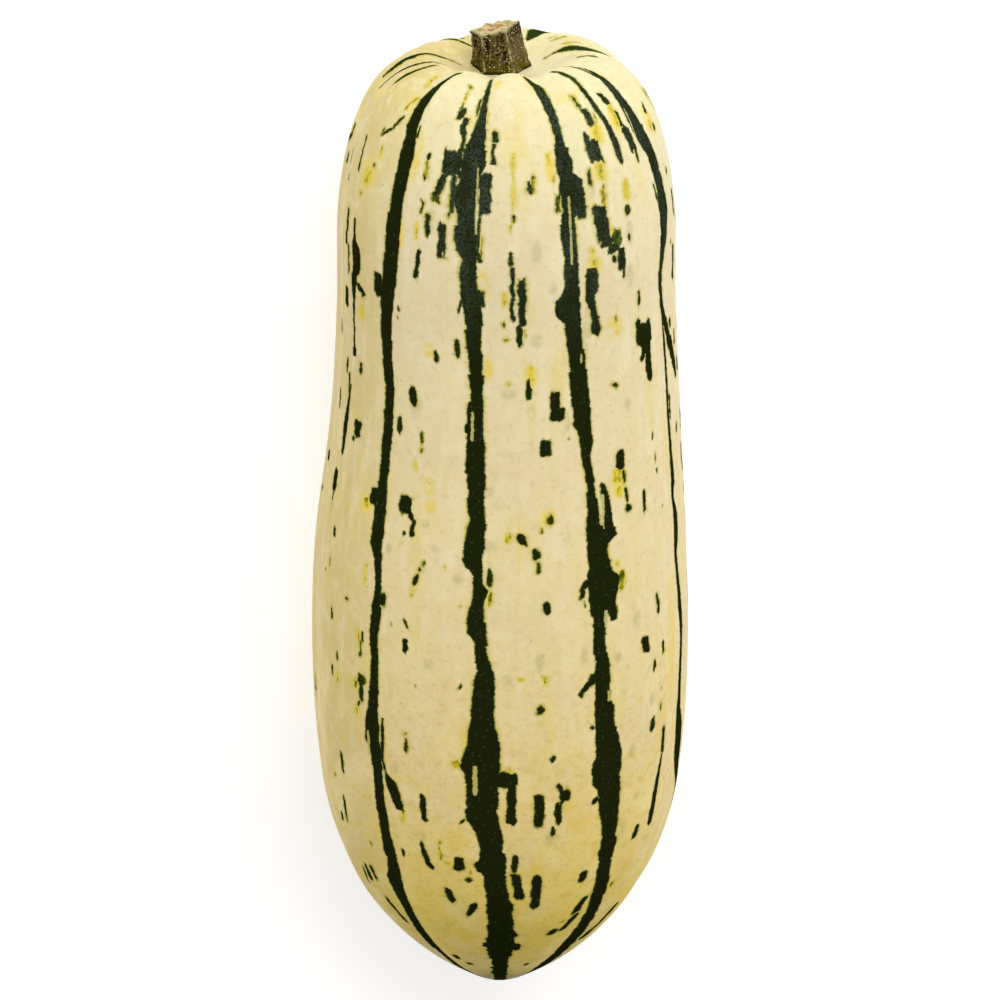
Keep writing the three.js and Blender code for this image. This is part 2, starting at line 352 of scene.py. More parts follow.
# Flecks: angle, distance along, width, length, tone from 0, darkest green, to 1, yellow, and how far each
# one leans, as distance across for each distance along. Tone and lean are 0 where they are left out.
FLECKS = [
    # left of the left stripe
    (-48, 29, 0.9, 4, 0.7, -0.3), (-49.9, 34.2, 0.7, 3.6, 0.1, -0.4), (-53.8, 36.7, 0.9, 2, 0.1, -1),
    (-55.5, 37, 0.8, 2.5, 0.5), (-53.5, 41, 0.8, 3.5, 0.85), (-55.5, 44, 0.6, 1, 0.3), (-58, 47, 2, 3, 0.9),
    (-60.5, 51, 0.6, 1.2, 0.5), (-65, 43, 0.6, 8, 0.05), (-76.8, 45.5, 0.9, 3.5, 0.05),
    (-74, 49.5, 0.9, 2, 0.1), (-86, 47.5, 0.8, 3, 0.1), (-68.5, 59.5, 1.2, 7.5), (-66.5, 66, 0.8, 7, 0.1),
    (-68.5, 74.5, 2, 4.4), (-58.6, 70.8, 2.4, 2, 0, 1.2), (-56.6, 72, 0.9, 2.4, 0.3),
    (-57.5, 76, 1.8, 2.5, 0.95), (-76, 82.6, 1.9, 3.2, 0.05, 0.2), (-66.6, 89.3, 0.9, 4, 0.1),
    (-64.3, 92.6, 0.9, 5, 0.1), (-57, 88, 1.1, 3, 0.05), (-73, 97.6, 1.2, 4.4, 0.05),
    (-57.3, 101.3, 2.5, 3.8), (-59.3, 103.6, 1, 1.4, 0.1), (-69.3, 114.8, 2.3, 5),
    (-69.4, 118.3, 0.8, 2.6, 0.1), (-69.5, 121.5, 0.6, 4, 0.6), (-64.5, 125.3, 1.1, 2.6, 0.05),
    (-57.5, 118, 0.9, 1.4, 0.85), (-65.5, 132, 0.8, 2.6, 0.6), (-68.5, 134.4, 0.9, 0.8, 0.2),
    (-46.5, 131, 0.8, 5.5, 0.85), (-62.3, 142.7, 0.9, 3.6, 0.1), (-54, 137.8, 1.4, 1.3, 0.15),
    (-46.9, 145, 0.8, 3, 0.1), (-47.6, 147.5, 0.9, 4.6, 0.5), (-48.5, 145, 0.8, 3, 0.65),
    (-58.8, 151.4, 0.9, 2.8, 0.1), (-58.5, 156, 0.7, 3, 0.7), (-61.7, 155.2, 1, 2.6, 0.1),
    (-47.2, 154.4, 2.4, 2.4, 0.2), (-49.7, 156, 1.4, 2.6, 0.6), (-47.4, 157.2, 1.6, 4.4, 0.12),
    (-48.7, 160.2, 1, 2, 0.1, -0.3), (-49.3, 161.8, 1.2, 2.6, 0.85), (-58.1, 175.6, 1, 5.6, 0.1, 0.1),
    (-64, 180, 1.8, 1.5, 0.85), (-59.5, 187, 0.9, 7, 0.15), (-63, 189.5, 1.2, 2.6, 0.2),
    (-51.4, 201.2, 1.1, 4.5, 0.15, 0.1), (-54.8, 201.7, 1.1, 5, 0.15, 0.1), (-57.6, 203, 0.9, 5, 0.2),
    (-48.5, 193, 0.9, 2, 0.6), (-48.5, 212, 1, 9, 0.1, 0.2), (-48.8, 68.7, 2.4, 5, 0, 0.1),
    (-46.6, 114, 2.4, 4), (-49.5, 116, 2, 2.4, 0.85), (-38.9, 135.2, 2, 3.2), (-47, 22, 0.7, 5, 0.65),
    (-45.5, 32, 0.9, 3, 0.85),
    # between the left stripe and the middle one
    (-37.6, 34.8, 0.7, 2.8, 0.05), (-29.9, 39.4, 0.9, 1.5, 0.1), (-30, 42, 1.1, 4, 0.75),
    (-30.5, 43, 0.7, 3, 0.1), (-30.3, 49.5, 0.6, 2.6, 0.3), (-31.7, 55, 0.8, 3.6, 0.85),
    (-27.4, 53.2, 1.2, 4.8, 0.05), (-31, 62.1, 1, 6.4, 0, -0.12), (-22, 56.2, 1.9, 7.6),
    (-20.3, 40, 3.8, 5.6), (-16.6, 42, 2, 2, 0.05), (-23.9, 44.6, 1.8, 5, 0, -0.3), (-16.6, 46, 2.6, 3, 0.1),
    (-24.8, 47.7, 1.8, 1.6, 0.3), (-19.2, 46.6, 1.1, 8, 0.05, -0.05), (-17, 37.3, 1.2, 1.6, 0.4, -1),
    (-20, 50.6, 0.7, 1.6, 0.2), (-20, 29.6, 1, 2.8, 0.15, -0.2), (-17.9, 32, 1.3, 4.4, 0.1),
    (-17.2, 35.4, 1.1, 5, 0.2), (-19.6, 22.8, 1.1, 1.8, 0.5), (-20.4, 26.3, 0.5, 5, 0.5, -0.08),
    (-13.4, 27.5, 0.5, 4.4, 0.15), (-39.5, 72.6, 0.8, 1.2, 0.1), (-40, 74.4, 0.5, 1.3, 0.4),
    (-32.2, 90.3, 1.8, 4.6, 0, 0.15), (-37.7, 97.4, 1.2, 4.2, 0.1), (-28.3, 98.8, 0.9, 2.8, 0.2),
    (-28.2, 101.4, 0.9, 1.8, 0.5), (-30.2, 105, 0.8, 2.2, 0.85), (-23.9, 81.1, 1.1, 3.2, 0.05, 0.12),
    (-16.7, 79, 1, 4.4, 0.15, 0.05), (-15.7, 69.6, 0.7, 3.6, 0.1, -0.15), (-11.8, 182.3, 1, 1.6, 0.05, -0.9),
    (-33, 113.7, 3.1, 4), (-33.9, 115.6, 1, 1, 0.1), (-30.7, 115.8, 1.2, 2.6, 0, 0.6),
    (-29.3, 118.4, 1, 4.4, 0, -0.08), (-32.2, 119.8, 1, 1.3, 0.15), (-33.5, 121.8, 0.8, 1.2, 0.85),
    (-25.6, 127, 1, 1.6, 0.1), (-26.9, 129.1, 1.1, 3, 0.1, -0.3), (-28.2, 132, 0.8, 2.6, 0.75),
    (-24.5, 125.5, 0.8, 1.6, 0.5), (-17.6, 125.6, 0.8, 2, 0.75), (-29.7, 139, 0.9, 2.2, 0.15, 0.5),
    (-29.6, 143.8, 1.3, 3.4), (-35, 140, 0.5, 1.6, 0.5), (-26, 152.5, 0.7, 0.9, 0.5),
    (-12.5, 134, 0.7, 0.8, 0.3), (-12.1, 151.5, 1, 1.6, 0.1, -0.4), (-29.6, 166.2, 0.9, 4, 0.1),
    (-29.7, 163.6, 0.8, 1.2, 0.2, -0.8), (-12.6, 178.8, 0.7, 0.7, 0.6), (-13.3, 169, 2, 1.9, 0.6),
    (-24.5, 180.2, 1.4, 6.6, 0, 0.1), (-32, 182.5, 1.2, 4, 0.85), (-24.8, 191.5, 1.3, 7, 0, 0.25),
    (-33.5, 192.3, 1, 2.2, 0.15), (-19.6, 187.8, 1.1, 1.6, 0.6), (-19.5, 190.5, 0.8, 4, 0.75),
    (-17.5, 192.8, 2.2, 0.8, 0.85), (-13.6, 193, 2.4, 3.7), (-10.7, 197, 1.7, 1.6, 0.1),
    (-9.8, 195.4, 0.8, 1.8, 0.6), (-17.8, 201.6, 1.7, 4, 0, 0.25), (-10.4, 205.5, 1.6, 4.4, 0, -0.35),
    (-27, 226.3, 1.8, 2.6, 0.1), (-20.5, 229.5, 1.8, 1.6, 0.2), (-7, 219.2, 1.6, 2.6),
    # beside the middle stripe
    (-7.6, 46, 2.5, 8.8), (-9.3, 51, 0.7, 11, 0.05, -0.05), (-9.9, 57, 0.9, 6, 0.1),
    (-4.3, 34.1, 1.3, 2.4, 0.1), (-5.1, 37, 0.6, 3.6, 0.15), (-5, 39, 1.2, 1.8, 0.05), (-8, 30, 0.8, 3, 0.85),
    (-8.4, 57, 0.9, 5, 0.8), (-9.2, 59.3, 1, 2.2, 0.2), (-8.8, 68, 2.4, 3.6), (-3.7, 127.6, 1.3, 4, 0.2),
    (-3.3, 131.8, 1.3, 3.4, 0.65), (5.9, 214.2, 1.8, 1.9), (7.3, 219.3, 2.3, 3.4), (1.6, 172.2, 5.2, 3.6),
    (3.5, 177.5, 2.1, 10.4), (3.3, 170.3, 1.5, 1.6, 0.85),
    # between the middle stripe and the right one
    (2.4, 43.5, 0.6, 12, 0.85), (2.4, 51, 0.9, 2, 0.35), (1.7, 53, 0.8, 1.8, 0.85),
    (8.1, 44.5, 1.3, 2.2, 0.15), (9.5, 44.3, 1, 2.6, 0.7), (9.6, 42.6, 0.8, 1.2, 0.5),
    (16.4, 39, 1.2, 3, 0.95), (17.3, 43, 0.8, 2, 0.8), (18.5, 48.2, 1.4, 4, 0.3), (1.5, 59.2, 1, 3, 0.1),
    (2, 66.8, 0.9, 11.6), (5.2, 68.6, 1.6, 10.4), (4.4, 75.6, 1.3, 5, 0.05), (5.9, 75.2, 0.6, 3, 0.5),
    (0.2, 76.5, 1.4, 1.1, 0.5), (-0.8, 73.3, 1, 1.5, 0.1), (-0.8, 67.6, 1, 3.4, 0.9),
    (8.3, 84.5, 1.1, 5, 0.95), (7.5, 87.2, 1.3, 4.6, 0.05), (8.1, 85.2, 1.6, 1.1, 0.45),
    (0.5, 86, 1.2, 0.9, 0.6), (16.1, 90.2, 2.2, 4.8), (17.1, 93, 3.4, 2.9), (12.9, 99.8, 2.6, 3.6),
    (20.6, 98.6, 0.8, 0.8, 0.5), (14.7, 115.3, 1.3, 2.6, 0.2), (12.1, 117.6, 0.9, 1.5, 0.3),
    (1.5, 119, 1.6, 2.1, 0.7), (6, 119.2, 1.8, 2.6, 0.05, 0.4), (10.4, 122.5, 1.6, 2.7, 0.05),
    (11.3, 125.6, 1, 3.4, 0.2), (14, 134.2, 1.5, 2.9), (6, 149.5, 1.8, 1.1, 0.8), (13.4, 150, 1.3, 2.6, 0.8),
    (12, 156.5, 2, 1.8, 0.05), (16, 167.8, 1.3, 1.6, 0.1), (27.2, 130.4, 2.2, 2, 0, -0.7),
    (25.8, 132.2, 1.4, 3, 0.05), (26.8, 134.4, 0.5, 2, 0.1), (28.3, 152.2, 2.3, 4, 0, -1.1),
    (29.3, 151.6, 2, 2.6), (25.4, 154.3, 1.5, 1.6, 0.05), (12.1, 179.6, 2.2, 8),
    (18.7, 175, 1.2, 2.8, 0, 0.4), (20.3, 176.7, 2.5, 3), (18.3, 180.6, 1.6, 5.6), (19.4, 178.3, 1.3, 1.2),
    (16.8, 184.9, 0.9, 2.6, 0.1), (4.8, 192.5, 1.2, 4.6, 0.05), (6, 198.5, 2.2, 7.2, 0, 0.15),
    (12.6, 199, 2.1, 7), (12.5, 203.3, 2.3, 3.6), (29.9, 198.1, 2.2, 3, 0, -0.12),
    (32, 207, 2.2, 5, 0, -0.35), (29.8, 212.2, 2, 5.4, 0.05, -0.5), (23.2, 214.3, 2.2, 2.4, 0.05, -0.3),
    (25.8, 211, 1.6, 0.8, 0.6), (18, 229.5, 1.3, 1.8, 0.2), (31.3, 179.6, 1.6, 1.8, 0, -0.6),
    (29.4, 162.4, 1.2, 1.4),
    # between the right stripe and the side
    (33.5, 27.7, 1, 3.4, 0.4, 0.15), (36.3, 31.7, 1.6, 3.8, 0.1, 0.2), (39.5, 32.5, 0.6, 2.4, 0.45),
    (38, 35, 1.6, 4, 1), (33, 37.5, 1.3, 5.6, 0.05), (35.1, 38.8, 3, 4.6, 0, 0.1), (36, 43, 2, 3.4, 1),
    (31.4, 43.8, 1, 4, 0.15), (36, 48, 1, 4, 0.7), (34.3, 53.8, 3, 7.8, 0, 0.1), (40.1, 57.2, 2.5, 3.2, 0.42),
    (36.6, 57.9, 3.6, 1.8, 0.05), (38.7, 59.2, 3.2, 2.2, 0.1), (38, 55.7, 1.2, 1.4, 0.95),
    (41.8, 62, 1.9, 5, 0.02, 0.05), (39.1, 61.6, 1.3, 1.6, 0.15), (42.5, 65, 0.9, 2.6, 0.05),
    (31, 62, 1.4, 2.4, 0.85), (30.5, 59, 0.9, 1.5, 0.8), (48.5, 28.6, 1.5, 3.2, 0.05, 0.3),
    (49.6, 33, 1.5, 5, 1), (51.8, 33.6, 1, 3.4, 0.1), (53.2, 79.8, 5.6, 4.8, 0, 0.1), (49.7, 77.6, 1.6, 2.6),
    (55.6, 78, 1.6, 2.4), (54.2, 82.9, 3.6, 3.4, 0, 0.1), (51.8, 84.8, 2, 1.6), (55.6, 87, 2.2, 6.8, 0, 0.1),
    (54.2, 38.2, 2.8, 5.6, 0.02, 0.2), (56, 42, 1, 2.6, 0.1), (46.3, 48, 1.4, 3.6, 0.95),
    (45.9, 52, 1.1, 2.2, 0.1), (45.7, 57.8, 0.6, 1.4, 0.1), (50.2, 71.6, 0.9, 3.4, 0.05, 0.05),
    (39.5, 74.5, 0.6, 1.8, 0.5), (40, 77.8, 0.8, 0.8, 0.6), (38.8, 88.8, 1.7, 1.4, 0.15, 0.5),
    (40.2, 105.3, 2.2, 4.6), (41.2, 108.5, 0.9, 2.6, 0.1), (39.2, 108.5, 2.6, 3.4, 0.88),
    (41.6, 109, 0.9, 3.4, 0.3), (42.6, 113, 0.9, 4, 0.05, 0.12), (43.2, 115.9, 2.1, 1.9),
    (39.8, 112, 1.8, 2.6, 0.95), (50.6, 115.7, 1, 5.4, 0.05), (57.5, 107.5, 0.8, 2.6, 0.5),
    (58.2, 110.6, 0.9, 2, 0.1), (56, 102.5, 0.8, 2, 0.35), (61.5, 119, 0.7, 1, 0.35),
    (38.5, 127.3, 1.1, 1.8, 0.85), (40.2, 131, 1.8, 4.8, 0.6), (56.5, 139.2, 1, 5, 0.05, 0.1),
    (49.8, 147, 2.7, 3.8, 0, 0.1), (59, 149.5, 1, 3.8, 0.05), (60.3, 150.5, 0.8, 3, 0.9),
    (54, 152.7, 1.2, 3, 0.1), (58, 158.5, 0.6, 1, 0.4), (58, 162.6, 0.8, 2.2, 0.25),
    (53.7, 165.8, 1.7, 3.4, 0.05, -0.1), (60.8, 171, 1.5, 6.4, 0.05), (50, 190.2, 1.5, 3.6, 0, -0.3),
    (37, 137.7, 2, 4.2), (45, 203, 1, 2.2, 0.7, -0.4), (52, 216.5, 1.8, 12, 0.1, -0.3),
    # the right side
    (75.6, 34.7, 0.9, 2.4, 0.05), (75, 38, 1.2, 2.4, 0.95), (77.3, 39, 0.9, 1.8, 0.05),
    (78.5, 49, 0.8, 1.6, 0.1), (81.5, 56.6, 1.2, 6, 0.05), (76, 64, 0.8, 1, 0.3), (78.5, 69, 1.2, 8, 0.1),
    (75.5, 81.5, 1.2, 2.6, 0.1), (79.5, 85.5, 0.9, 4, 0.1), (82.5, 92, 1.2, 4, 0.1),
    (72.3, 99.5, 0.8, 6, 0.05), (78, 105, 0.9, 3, 0.45), (66.5, 51.5, 0.8, 4.6, 0.05, 0.25),
    (84, 112, 1.4, 5, 0.1), (88, 128, 1.6, 6),
    # the far side of the shoulder
    (134.2, 16.1, 0.5, 3.4, 0.35, -0.62), (140.8, 16, 0.4, 2, 0.6, -0.6), (119.5, 16.4, 0.5, 3.4, 0.4, -0.6),
    (209.5, 16, 0.5, 3, 0.75, 0.5), (210.5, 20, 1.6, 3, 0.15), (85, 17.5, 0.9, 5, 0.2),
    # at the foot of the right stripe's first bulge
    (27.3, 50.7, 1.8, 2.4),
]

# Slivers of pale rind inside the stripes: angle, distance along, width, length and how grey each one is.
SLIVERS = [
    (22.8, 54.3, 0.5, 14.5, 0.6), (-11.3, 95.4, 0.6, 6.4, 0.3), (-7.7, 172.6, 1, 7, 0.15),
    (59.8, 35.5, 0.5, 7, 0.4), (33.1, 115, 1.2, 6.6, 0.1), (34.4, 138.8, 0.9, 3.8, 0.1),
    (26.2, 81.8, 0.5, 1.8, 0.5), (-44.9, 168.5, 0.7, 6, 0.4), (-39.8, 166, 0.6, 2.6, 0.1),
    (-10.6, 47.5, 0.4, 14, 0.15), (-21.6, 59, 0.5, 1, 0.5), (35.3, 156, 0.7, 2.4, 0.3),
]

# Soft patches of yellow: angle, distance along, width and length.
YELLOWS = [
    (38.6, 76, 3.6, 4.6), (26, 184, 7, 6), (22, 180, 4, 4), (38, 35, 3, 5), (36, 43, 3.6, 5),
    (49.5, 34, 3, 6), (-39.5, 57, 2, 7), (39, 110, 4.5, 6), (-10, 163, 2, 7), (-14, 187, 5, 6),
    (12.5, 193.5, 2, 3), (16.6, 41, 2, 6), (8.3, 84, 2.2, 5), (-58, 46, 5, 7), (-8.2, 65, 2, 8),
    (-7, 83, 3, 5), (9, 205, 4, 8),
    (-26.4, 80, 1.6, 2.6), (7.5, 207, 3, 10), (31, 62, 3, 5), (-36, 40, 3, 12), (59, 168, 4, 16),
    (-49, 116, 4, 4), (-16, 217, 4, 6), (38.6, 131, 3, 4), (75, 37, 3, 7), (14, 115, 3, 4),
    (-25, 109, 1, 3), (-24, 113, 1, 2), (66, 150, 5, 40), (-73, 30, 5, 5), (-5.5, 21.5, 0.8, 1.6),
    (50, 198, 4, 12),
]

# Faint grey-green smudges: the same four numbers.
SMUDGES = [
    (10, 58, 1.6, 7), (45.5, 66, 2, 6), (46, 57, 1.8, 6), (12, 146, 1.6, 5), (26.5, 146, 1.2, 5),
    (2, 149.5, 1.6, 2), (10, 77, 1.8, 3), (15.5, 66, 1.5, 3), (28.4, 76, 1, 12), (20.4, 95, 0.8, 5),
    (44, 93.5, 1, 3.5), (-21, 122, 2, 1.4), (-25, 117, 1.2, 1.4), (-13.5, 128, 2, 1.6), (-26, 187, 3, 2),
    (16.5, 186.5, 3, 4), (-14.7, 62, 2, 5), (-12, 43, 1, 3), (46, 141, 2, 4), (44.5, 170, 1.5, 3),
    (-34, 172, 2, 2.5), (53, 160, 1.5, 3), (-22, 147, 2, 2), (-38, 124, 1, 2), (20.5, 120, 1.2, 1.5),
    (8, 92, 1.6, 3), (-31, 92, 2.8, 6), (31.5, 46, 1.2, 6), (-20, 50, 2, 4), (-26.6, 52, 1.8, 8),
    (1, 88, 3, 2), (-4, 121, 2.5, 2), (-5, 109, 1.6, 2), (38.5, 148, 1, 2), (48, 181, 1.2, 2),
    (43, 188, 2, 5),
]

REACH = 3.5  # how far outside a mark its faces still measure from it
FAR = 50.0  # the distance from a mark that is kept where none is near
NO_WIDTH = -2  # of a stripe beyond its ends
LEAST_RADIUS = 0.5  # at which a face's distance across from a mark is measured
NUMBER_CYCLE = 97  # after which the marks' own numbers start again
RAGGED_SPAN = (20, 42)  # distances along over which the stripes' edges turn ragged


def round_turn(angle):
    """The same angle, from -180 to 180."""
    return (angle + 180) % 360 - 180


class Grid:
    """The fruit's faces as rows from dimple to tip and columns round it, and each face's corners."""

    def __init__(self):
        self.angles = np.linspace(-180, 180, COLUMNS + 1)
        self.alongs = np.linspace(0, OUTER.length, ROWS + 1)
        self.middle_angle = (self.angles[:-1] + self.angles[1:]) / 2
        self.middle_along = (self.alongs[:-1] + self.alongs[1:]) / 2
        self.radius = np.maximum(OUTER.at(self.middle_along)[1], LEAST_RADIUS)

    def points(self):
        angle, along = np.meshgrid(self.angles[:-1], self.alongs[1:-1])
        rings = fruit_points(angle, along).reshape(-1, 3)
        poles = fruit_points(np.zeros(2), self.alongs[[0, -1]])
        return np.vstack([poles[:1], rings, poles[1:]])

    def corners(self):
        """Angle and distance along of each face's corners, in ring_faces' order, and each corner's face."""
        low, high = self.angles[:-1], self.angles[1:]
        middle = self.middle_angle
        face = np.arange(ROWS * COLUMNS).reshape(ROWS, COLUMNS)
        ends = self.alongs
        first = [(middle, ends[0]), (low, ends[1]), (high, ends[1])]
        last = [(high, ends[-2]), (low, ends[-2]), (middle, ends[-1])]
        parts = [self._corner_rows(first, face[0])]
        for row in range(1, ROWS - 1):
            start, end = ends[row], ends[row + 1]
            quad = [(low, start), (low, end), (high, end), (high, start)]
            parts.append(self._corner_rows(quad, face[row]))
        parts.append(self._corner_rows(last, face[-1]))
        return [np.concatenate(values) for values in zip(*parts)]

    @staticmethod
    def _corner_rows(corners, faces):
        angle = np.stack([a for a, _ in corners], 1).ravel()
        along = np.stack([np.full(len(faces), s) for _, s in corners], 1).ravel()
        return angle, along, np.repeat(faces, len(corners))

    def nearest(self, marks, count):
        """For each face, the numbers of the marks whose outlines it lies most inside, or -1."""
        best = np.full((count, ROWS, COLUMNS), -REACH)
        number = np.full((count, ROWS, COLUMNS), -1)
        for i, (angle, along, width, length, _, lean) in enumerate(marks):
            rows = np.abs(self.middle_along - along) < length / 2 + REACH
            lengthwise = (self.middle_along[rows] - along)[:, None]
            across = np.radians(round_turn(self.middle_angle - angle)) * self.radius[rows][:, None]
            across = across - lean * lengthwise
            inside = np.minimum(width / 2 - np.abs(across), length / 2 - np.abs(lengthwise))
            here = np.full(inside.shape, i)
            for level in range(count):
                old, old_number = best[level][rows], number[level][rows]
                better = inside > old
                best[level][rows] = np.where(better, inside, old)
                number[level][rows] = np.where(better, here, old_number)
                inside = np.where(better, old, inside)
                here = np.where(better, old_number, here)
        return number.reshape(count, -1)


def corner_values(piece, name, *columns):
    """A vector on every face corner, which the materials read by name."""
    values = np.stack(columns, 1).astype(np.float32)
    attribute = piece.data.attributes.new(name, "FLOAT_VECTOR", "CORNER")
    attribute.data.foreach_set("vector", values.ravel())


def store_marks(piece, grid, corners, name, marks, count=1):
    """Each corner's place from the middle of its face's nearest marks, with their half sizes and tones."""
    angle, along, face = corners
    radius = OUTER.at(along)[1]
    marks = [(*mark, *([0] * (6 - len(mark)))) for mark in marks]
    table = np.array(marks + [(0, 0, 0, 0, 0, 0)], float)
    for level, numbers in enumerate(grid.nearest(marks, count)):
        number = numbers[face]
        found = number >= 0
        at_angle, at_along, width, length, tone, lean = table[number].T
        lengthwise = along - at_along
        across = np.radians(round_turn(angle - at_angle)) * radius - lean * lengthwise
        across, lengthwise = (np.where(found, value, FAR) for value in (across, lengthwise))
        corner_values(piece, f"{name}{level}_place", across, lengthwise, number % NUMBER_CYCLE)
        corner_values(piece, f"{name}{level}_size", width / 2, length / 2, tone)


def store_stripes(piece, grid, corners):
    """Each corner's distance across from its face's nearest stripe, with that stripe's half width."""
    angle, along, face = corners
    radius = OUTER.at(along)[1]
    best = np.full((ROWS, COLUMNS), -np.inf)
    number = np.zeros((ROWS, COLUMNS), int)
    runs = [(ragged, np.array(stations, float)) for ragged, stations in STRIPES.values()]
    for i, (_, run) in enumerate(runs):
        middle = np.interp(grid.middle_along, run[:, 0], run[:, 1])[:, None]
        half = np.interp(grid.middle_along, run[:, 0], run[:, 2] / 2, left=-FAR, right=-FAR)[:, None]
        across = np.radians(round_turn(grid.middle_angle - middle)) * grid.radius[:, None]
        inside = half - np.abs(across)
        number = np.where(inside > best, i, number)
        best = np.maximum(best, inside)
    mine = number.ravel()[face]
    across, half, rough = np.zeros((3, len(face)))
    for i, (ragged, run) in enumerate(runs):
        middle = np.interp(along, run[:, 0], run[:, 1])
        width = np.interp(along, run[:, 0], run[:, 2], left=NO_WIDTH, right=NO_WIDTH)
        on = mine == i
        across[on] = (np.radians(round_turn(angle - middle)) * radius)[on]
        half[on] = width[on] / 2
        rough[on] = ragged
    corner_values(piece, "stripe", across, half, rough * smooth(along, *RAGGED_SPAN))


def fruit_piece(grid, skin):
    piece = new_mesh("squash_fruit", skin, ring_faces(ROWS - 1, COLUMNS))
    corners = grid.corners()
    angle, along, _ = corners
    layer = piece.data.uv_layers.new(name="OFBake")
    unrolled = np.stack([angle / 360 + 0.5, along / OUTER.length], 1)
    layer.data.foreach_set("uv", unrolled.astype(np.float32).ravel())
    corner_values(piece, "place", angle, along, np.zeros_like(angle))
    store_stripes(piece, grid, corners)
    store_marks(piece, grid, corners, "fleck", FLECKS + hidden_flecks(), count=2)
    store_marks(piece, grid, corners, "sliver", SLIVERS)
    store_marks(piece, grid, corners, "smudge", SMUDGES)
    store_marks(piece, grid, corners, "yellow", YELLOWS)
    return piece


def hidden_flecks():
    """Flecks for the sides and the back, like those that show, in the same order every run."""
    dice = random.Random(7)
    flecks = []
    for _ in range(HIDDEN_FLECKS):
        angle = dice.uniform(*HIDDEN_ANGLES)
        along = dice.uniform(*HIDDEN_ALONGS)
        width = dice.choice([0.7, 0.9, 1.2, 1.6])
        length = dice.uniform(2, 5) * dice.choice([0.6, 1, 1, 2])
        tone = dice.choice([0, 0, 0.1, 0.3, 0.6])
        flecks.append((angle, along, width, length, tone))
        if dice.random() < 0.5:
            angle += dice.choice([-1.4, 1.4])
            along += dice.uniform(-2, 2)
            flecks.append((angle, along, width, length * 0.6, tone))
    return flecks


# ---- materials ----


def new_node(tree, kind, inputs, **settings):
    """A node with its settings made, and each input linked to a wire or socket, or set to a value."""
    node = tree.nodes.new(f"ShaderNode{kind}")
    for name, value in settings.items():
        setattr(node, name, value)
    for name, value in inputs.items():
        source = getattr(value, "socket", value)
        if isinstance(source, bpy.types.NodeSocket):
            tree.links.new(source, node.inputs[name])
        else:
            node.inputs[name].default_value = source
    return node


def operation(name):
    """A method of Wire that is one of the Math node's operations."""
    return lambda self, *others: self.does(name, *others)


class Wire:
    """A number in a material's nodes, with arithmetic."""

    __add__ = __radd__ = operation("ADD")
    __sub__ = operation("SUBTRACT")
    __mul__ = operation("MULTIPLY")
    __truediv__ = operation("DIVIDE")
    least = operation("MINIMUM")
    most = operation("MAXIMUM")
    size = operation("ABSOLUTE")
    root = operation("SQRT")
    floor = operation("FLOOR")
    above = operation("GREATER_THAN")

    def __init__(self, tree, socket):
        self.tree = tree
        self.socket = socket

    def __rsub__(self, other):
        return self.does("MULTIPLY_ADD", -1.0, other)

    def does(self, name, *others):
        node = new_node(self.tree, "Math", dict(enumerate((self, *others))), operation=name)
        return Wire(self.tree, node.outputs[0])

    def rise(self, low, high):
        """0 below low, 1 above high, and an even curve between."""
        ends = {"Value": self, "From Min": low, "From Max": high}
        node = new_node(self.tree, "MapRange", ends, interpolation_type="SMOOTHSTEP")
        return Wire(self.tree, node.outputs["Result"])


